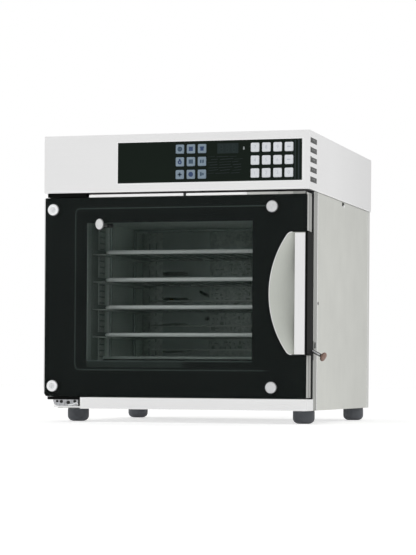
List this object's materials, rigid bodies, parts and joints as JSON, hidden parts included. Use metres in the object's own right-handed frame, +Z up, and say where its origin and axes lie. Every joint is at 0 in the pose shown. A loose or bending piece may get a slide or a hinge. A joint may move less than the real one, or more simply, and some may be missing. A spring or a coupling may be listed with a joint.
{
  "type": "convection steam oven",
  "caption": "Countertop convection steam oven with a glazed side-hung door, scooped side handle, key panel above the door, wire shelves, fan and steam inlet.",
  "frame": {"origin": "middle of the whole oven's footprint, at the floor under its feet", "axes": "+X to the oven's right as seen from the front, +Y to its back, +Z up; the door faces -Y"},
  "size_m": [0.68, 0.7272, 0.6805],
  "materials": {
    "bright_steel": "pale, finely brushed stainless steel",
    "brushed_steel": "brushed stainless steel",
    "handle_steel": "satin stainless steel",
    "cap_steel": "turned stainless steel",
    "cavity_steel": "satin stainless steel",
    "shelf_wire": "polished stainless wire",
    "hinge_steel": "brushed stainless steel",
    "motor_steel": "dark painted steel",
    "heater_steel": "heat-darkened steel",
    "brass": "plain brass",
    "lever_copper": "copper-toned metal",
    "black_glass": "glossy black glass",
    "door_glass": "dark tinted glass",
    "blue_key": "satin blue-grey plastic",
    "white_key": "satin white plastic",
    "black_plastic": "matt black plastic",
    "circuit_board": "green circuit board",
    "seal_rubber": "black silicone rubber",
    "foot_rubber": "dark blue-grey rubber",
    "mineral_wool": "mineral wool blanket"
  },
  "bodies": {
    "oven": {"control_housing": "bright_steel", "display_glass": "black_glass", "control_board": "circuit_board", "left_side_panel": "brushed_steel", "right_side_panel": "brushed_steel", "rear_panel": "brushed_steel", "base_pan": "bright_steel", "front_frame": "brushed_steel", "cavity_liner": "cavity_steel", "insulation": "mineral_wool", "door_gasket": "seal_rubber", "foot_front_left": "foot_rubber", "foot_front_right": "foot_rubber", "foot_rear_left": "foot_rubber", "foot_rear_right": "foot_rubber", "upper_hinge": "black_plastic", "lower_hinge": "hinge_steel", "shelf_rack": "cavity_steel", "fan_baffle": "cavity_steel", "fan_motor": "motor_steel", "heater_ring": "heater_steel", "water_valve": "brass", "cable_gland": "black_plastic"},
    "door": {"outer_glass": "door_glass", "door_frame": "brushed_steel", "inner_glass": "door_glass", "handle_plate": "handle_steel", "handle_moulding": "black_plastic", "glass_cap_top_left": "cap_steel", "glass_cap_top_right": "cap_steel", "glass_cap_bottom_left": "cap_steel", "glass_cap_bottom_right": "cap_steel"},
    "glass_catch": {"glass_catch": "cap_steel"},
    "fan_wheel": {"fan_wheel": "cavity_steel"},
    "vent_lever": {"vent_lever": "lever_copper"},
    "shelf_1": {"shelf_1": "shelf_wire"},
    "shelf_2": {"shelf_2": "shelf_wire"},
    "shelf_3": {"shelf_3": "shelf_wire"},
    "shelf_4": {"shelf_4": "shelf_wire"},
    "function_key_1": {"function_key_1": "blue_key"},
    "function_key_2": {"function_key_2": "blue_key"},
    "function_key_3": {"function_key_3": "blue_key"},
    "function_key_4": {"function_key_4": "blue_key"},
    "function_key_5": {"function_key_5": "blue_key"},
    "function_key_6": {"function_key_6": "blue_key"},
    "function_key_7": {"function_key_7": "blue_key"},
    "function_key_8": {"function_key_8": "blue_key"},
    "function_key_9": {"function_key_9": "blue_key"},
    "number_key_1": {"number_key_1": "white_key"},
    "number_key_2": {"number_key_2": "white_key"},
    "number_key_3": {"number_key_3": "white_key"},
    "number_key_4": {"number_key_4": "white_key"},
    "number_key_5": {"number_key_5": "white_key"},
    "number_key_6": {"number_key_6": "white_key"},
    "number_key_7": {"number_key_7": "white_key"},
    "number_key_8": {"number_key_8": "white_key"},
    "number_key_9": {"number_key_9": "white_key"},
    "number_key_10": {"number_key_10": "white_key"},
    "number_key_11": {"number_key_11": "white_key"},
    "number_key_12": {"number_key_12": "white_key"}
  },
  "joints": [
    {"name": "door_hinge", "type": "hinge", "parent": "oven", "child": "door", "pos_m": [-0.31602, -0.32865, 0.297], "axis": [0, 0, -1], "range_deg": [0, 120]},
    {"name": "glass_catch_turn", "type": "hinge", "parent": "door", "child": "glass_catch", "pos_m": [-0.19902, -0.35665, 0.4693], "axis": [0, 1, 0], "range_deg": [0, 90]},
    {"name": "fan_spin", "type": "hinge", "parent": "oven", "child": "fan_wheel", "pos_m": [-0.01502, 0.19535, 0.31], "axis": [0, 1, 0], "continuous": true},
    {"name": "vent_lever_turn", "type": "hinge", "parent": "oven", "child": "vent_lever", "pos_m": [0.28498, -0.29565, 0.182], "axis": [0, -1, 0], "range_deg": [0, 25]},
    {"name": "shelf_1_slide", "type": "slide", "parent": "oven", "child": "shelf_1", "axis": [0, -1, 0], "range_m": [0, 0.06]},
    {"name": "shelf_2_slide", "type": "slide", "parent": "oven", "child": "shelf_2", "axis": [0, -1, 0], "range_m": [0, 0.06]},
    {"name": "shelf_3_slide", "type": "slide", "parent": "oven", "child": "shelf_3", "axis": [0, -1, 0], "range_m": [0, 0.06]},
    {"name": "shelf_4_slide", "type": "slide", "parent": "oven", "child": "shelf_4", "axis": [0, -1, 0], "range_m": [0, 0.06]},
    {"name": "function_key_1_press", "type": "slide", "parent": "oven", "child": "function_key_1", "axis": [0, 1, 0], "range_m": [0, 0.002], "stiffness_N_per_m": 500, "springref_m": -0.001},
    {"name": "function_key_2_press", "type": "slide", "parent": "oven", "child": "function_key_2", "axis": [0, 1, 0], "range_m": [0, 0.002], "stiffness_N_per_m": 500, "springref_m": -0.001},
    {"name": "function_key_3_press", "type": "slide", "parent": "oven", "child": "function_key_3", "axis": [0, 1, 0], "range_m": [0, 0.002], "stiffness_N_per_m": 500, "springref_m": -0.001},
    {"name": "function_key_4_press", "type": "slide", "parent": "oven", "child": "function_key_4", "axis": [0, 1, 0], "range_m": [0, 0.002], "stiffness_N_per_m": 500, "springref_m": -0.001},
    {"name": "function_key_5_press", "type": "slide", "parent": "oven", "child": "function_key_5", "axis": [0, 1, 0], "range_m": [0, 0.002], "stiffness_N_per_m": 500, "springref_m": -0.001},
    {"name": "function_key_6_press", "type": "slide", "parent": "oven", "child": "function_key_6", "axis": [0, 1, 0], "range_m": [0, 0.002], "stiffness_N_per_m": 500, "springref_m": -0.001},
    {"name": "function_key_7_press", "type": "slide", "parent": "oven", "child": "function_key_7", "axis": [0, 1, 0], "range_m": [0, 0.002], "stiffness_N_per_m": 500, "springref_m": -0.001},
    {"name": "function_key_8_press", "type": "slide", "parent": "oven", "child": "function_key_8", "axis": [0, 1, 0], "range_m": [0, 0.002], "stiffness_N_per_m": 500, "springref_m": -0.001},
    {"name": "function_key_9_press", "type": "slide", "parent": "oven", "child": "function_key_9", "axis": [0, 1, 0], "range_m": [0, 0.002], "stiffness_N_per_m": 500, "springref_m": -0.001},
    {"name": "number_key_1_press", "type": "slide", "parent": "oven", "child": "number_key_1", "axis": [0, 1, 0], "range_m": [0, 0.002], "stiffness_N_per_m": 500, "springref_m": -0.001},
    {"name": "number_key_2_press", "type": "slide", "parent": "oven", "child": "number_key_2", "axis": [0, 1, 0], "range_m": [0, 0.002], "stiffness_N_per_m": 500, "springref_m": -0.001},
    {"name": "number_key_3_press", "type": "slide", "parent": "oven", "child": "number_key_3", "axis": [0, 1, 0], "range_m": [0, 0.002], "stiffness_N_per_m": 500, "springref_m": -0.001},
    {"name": "number_key_4_press", "type": "slide", "parent": "oven", "child": "number_key_4", "axis": [0, 1, 0], "range_m": [0, 0.002], "stiffness_N_per_m": 500, "springref_m": -0.001},
    {"name": "number_key_5_press", "type": "slide", "parent": "oven", "child": "number_key_5", "axis": [0, 1, 0], "range_m": [0, 0.002], "stiffness_N_per_m": 500, "springref_m": -0.001},
    {"name": "number_key_6_press", "type": "slide", "parent": "oven", "child": "number_key_6", "axis": [0, 1, 0], "range_m": [0, 0.002], "stiffness_N_per_m": 500, "springref_m": -0.001},
    {"name": "number_key_7_press", "type": "slide", "parent": "oven", "child": "number_key_7", "axis": [0, 1, 0], "range_m": [0, 0.002], "stiffness_N_per_m": 500, "springref_m": -0.001},
    {"name": "number_key_8_press", "type": "slide", "parent": "oven", "child": "number_key_8", "axis": [0, 1, 0], "range_m": [0, 0.002], "stiffness_N_per_m": 500, "springref_m": -0.001},
    {"name": "number_key_9_press", "type": "slide", "parent": "oven", "child": "number_key_9", "axis": [0, 1, 0], "range_m": [0, 0.002], "stiffness_N_per_m": 500, "springref_m": -0.001},
    {"name": "number_key_10_press", "type": "slide", "parent": "oven", "child": "number_key_10", "axis": [0, 1, 0], "range_m": [0, 0.002], "stiffness_N_per_m": 500, "springref_m": -0.001},
    {"name": "number_key_11_press", "type": "slide", "parent": "oven", "child": "number_key_11", "axis": [0, 1, 0], "range_m": [0, 0.002], "stiffness_N_per_m": 500, "springref_m": -0.001},
    {"name": "number_key_12_press", "type": "slide", "parent": "oven", "child": "number_key_12", "axis": [0, 1, 0], "range_m": [0, 0.002], "stiffness_N_per_m": 500, "springref_m": -0.001}
  ]
}
